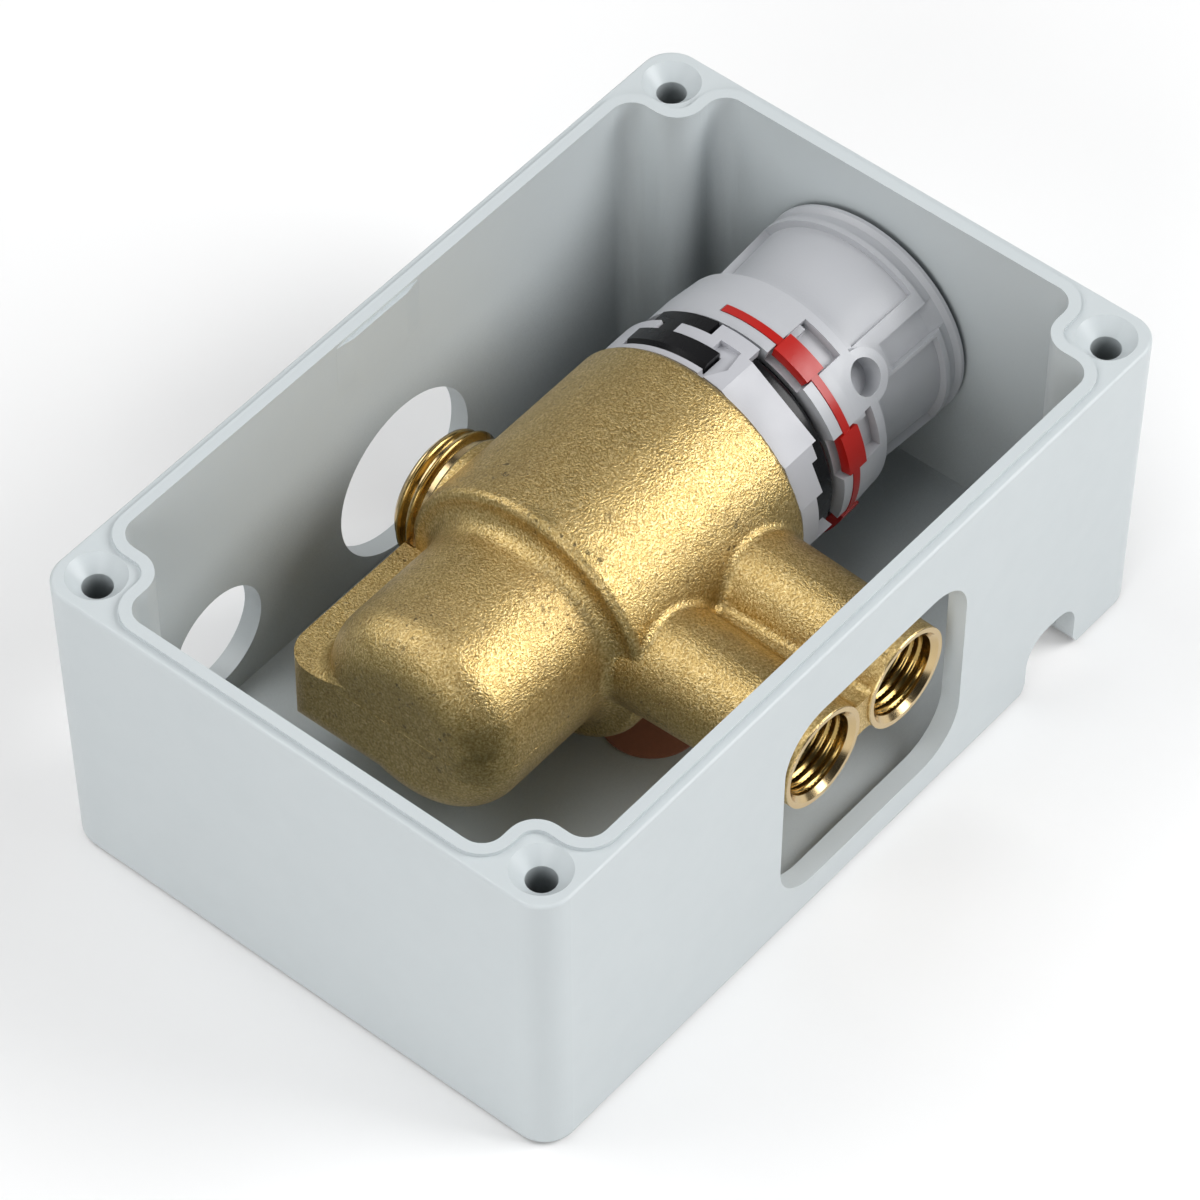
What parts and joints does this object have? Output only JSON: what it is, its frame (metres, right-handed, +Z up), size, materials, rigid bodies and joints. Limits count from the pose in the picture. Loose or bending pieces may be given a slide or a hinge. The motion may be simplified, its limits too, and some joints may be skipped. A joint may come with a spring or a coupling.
{
  "type": "thermostatic mixing valve",
  "caption": "Brass thermostatic mixing valve lying in an open plastic box, with a grey temperature knob, stop ring, side inlets and a threaded outlet.",
  "frame": {"origin": "middle of the box's underside", "axes": "+X along the box towards the knob, +Y towards the outlet wall, +Z up"},
  "size_m": [0.135, 0.0906, 0.0549],
  "materials": {
    "box_plastic": "smooth satin moulded box, light cool grey",
    "label_film": "matt printed film, reddish brown",
    "cast_brass": "sand-cast skin, machined in the bores and on the threads",
    "turned_brass": "turned",
    "white_plastic": "smooth moulded",
    "steel": "bright",
    "black_plastic": "satin moulded",
    "collar_plastic": "satin moulded, light grey",
    "knob_plastic": "satin moulded, light grey",
    "red_plastic": "satin moulded, red",
    "seal_rubber": "black rubber"
  },
  "bodies": {
    "box": {"black_limit_ring": "black_plastic", "box_shell": "box_plastic", "cartridge_nut": "turned_brass", "cartridge_sleeve": "white_plastic", "cold_check_body": "white_plastic", "cold_check_guide": "white_plastic", "cold_check_seal": "seal_rubber", "cold_check_spring": "steel", "cold_filter_screen": "steel", "hot_check_body": "white_plastic", "hot_check_guide": "white_plastic", "hot_check_seal": "seal_rubber", "hot_check_spring": "steel", "hot_filter_screen": "steel", "inspection_label": "label_film", "lock_collar": "collar_plastic", "outlet_seat": "white_plastic", "return_spring": "steel", "sleeve_seal_end": "seal_rubber", "sleeve_seal_head": "seal_rubber", "sleeve_seal_middle": "seal_rubber", "spindle_clip": "steel", "valve_body": "cast_brass"},
    "knob": {"knob": "knob_plastic", "red_stop_ring": "red_plastic", "knob_screw": "steel", "temperature_spindle": "turned_brass", "spindle_seal": "seal_rubber"},
    "follower": {"temperature_follower": "white_plastic", "overload_cup": "steel", "overload_spring": "steel"},
    "shuttle": {"mixing_shuttle": "white_plastic", "shuttle_seal": "seal_rubber", "wax_element": "turned_brass", "element_pin": "steel"},
    "hot_poppet": {"hot_check_poppet": "white_plastic"},
    "cold_poppet": {"cold_check_poppet": "white_plastic"}
  },
  "joints": [
    {"name": "knob_turn", "type": "hinge", "parent": "box", "child": "knob", "pos_m": [0, 0.0041, 0.0288], "axis": [1, 0, 0], "range_deg": [-120, 90]},
    {"name": "follower_slide", "type": "slide", "parent": "box", "child": "follower", "axis": [1, 0, 0], "range_m": [-0.00051, 0.00039]},
    {"name": "shuttle_slide", "type": "slide", "parent": "box", "child": "shuttle", "axis": [1, 0, 0], "range_m": [-0.00051, 0.00039], "deforming": ["return_spring"]},
    {"name": "hot_check_slide", "type": "slide", "parent": "box", "child": "hot_poppet", "axis": [0, 1, 0], "range_m": [0, 0.002], "stiffness_N_per_m": 40, "springref_m": -0.003, "deforming": ["hot_check_spring"]},
    {"name": "cold_check_slide", "type": "slide", "parent": "box", "child": "cold_poppet", "axis": [0, 1, 0], "range_m": [0, 0.002], "stiffness_N_per_m": 40, "springref_m": -0.003, "deforming": ["cold_check_spring"]}
  ],
  "couplings": [
    {"joint": "follower_slide", "follows": "knob_turn", "m_per_rad": 0.00023873},
    {"joint": "shuttle_slide", "follows": "knob_turn", "m_per_rad": 0.00023873}
  ]
}
